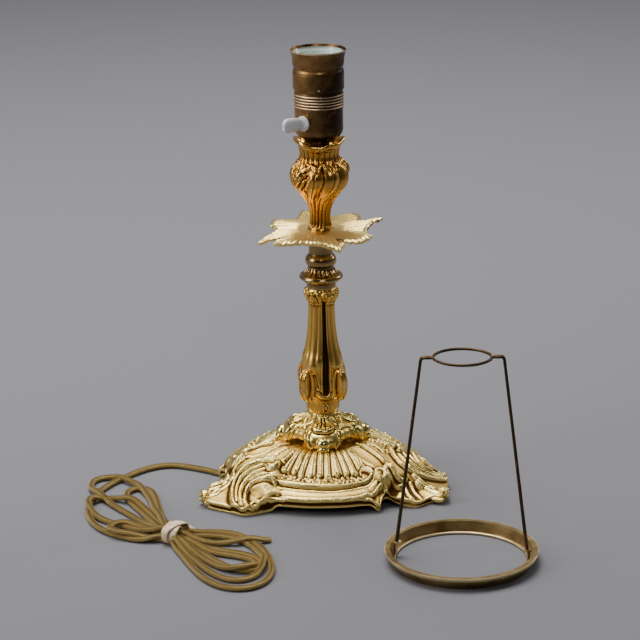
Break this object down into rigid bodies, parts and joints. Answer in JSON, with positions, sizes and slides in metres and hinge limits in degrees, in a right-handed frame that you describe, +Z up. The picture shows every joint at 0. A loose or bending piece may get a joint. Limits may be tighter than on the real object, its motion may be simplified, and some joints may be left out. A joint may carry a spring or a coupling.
{
  "type": "table lamp",
  "caption": "Gilt brass table lamp on a three-footed scroll base, with a porcelain-keyed lampholder, a tied braided cord and a separate wire shade carrier.",
  "frame": {"origin": "on the lamp's own axis, in the plane of the bench that its three feet, its cord and the shade carrier stand on", "axes": "+Z up along the lamp's axis, -Y to the front, +X to the right of a person facing the front"},
  "size_m": [0.358, 0.3439, 0.361],
  "materials": {
    "gilt_brass": "bright fire-gilt casting, polished on its high places",
    "pale_gilt_brass": "matt gilt casting with brushed highlights",
    "dark_brass": "dark patinated spun brass",
    "carrier_brass": "dull brown brass with a worn lip",
    "contact_brass": "rolled bright brass",
    "steel": "plain turned steel",
    "porcelain": "white glazed porcelain",
    "mint_porcelain": "pale glazed porcelain with a green tint",
    "gold_braid": "gold braided silk over a twin lead",
    "cotton_tape": "cream woven cotton tape",
    "rubber_bush": "matt black rubber"
  },
  "bodies": {
    "lamp": {"base": "pale_gilt_brass", "base_washer": "steel", "base_nut": "steel", "stem_tube": "steel", "cord_bush": "rubber_bush", "foot_flange": "gilt_brass", "column": "gilt_brass", "collar": "gilt_brass", "drip_pan": "pale_gilt_brass", "vase_cup": "gilt_brass", "holder_cap": "dark_brass", "holder_thread_ring": "dark_brass", "holder_sleeve": "dark_brass", "bayonet_pin": "steel", "switch_block": "porcelain", "contact_block": "porcelain", "block_screws": "contact_brass", "bulb_thread_shell": "contact_brass", "contact_spring": "steel", "side_contact": "contact_brass", "terminal_screws": "contact_brass", "insulating_ring": "mint_porcelain", "grub_screw": "steel", "inner_cord": "gold_braid", "cord_lead": "gold_braid", "cord_hank": "gold_braid", "cord_tie": "cotton_tape"},
    "switch": {"switch_rotor": "contact_brass", "switch_spindle": "steel", "switch_key": "porcelain"},
    "contact": {"centre_contact": "contact_brass"},
    "carrier": {"carrier_ring": "carrier_brass", "carrier_wire_front": "carrier_brass", "carrier_wire_back": "carrier_brass", "carrier_washers": "carrier_brass", "carrier_rivets": "carrier_brass"}
  },
  "joints": [
    {"name": "switch_turn", "type": "hinge", "parent": "lamp", "child": "switch", "pos_m": [0, 0, 0.305], "axis": [-0.6157, -0.788, 0], "continuous": true},
    {"name": "contact_press", "type": "slide", "parent": "lamp", "child": "contact", "axis": [0, 0, -1], "range_m": [0, 0.0015], "stiffness_N_per_m": 800, "deforming": ["contact_spring"]},
    {"name": "carrier_lift", "type": "slide", "parent": "lamp", "child": "carrier", "axis": [0, 0, 1], "range_m": [0, 0.25]}
  ]
}
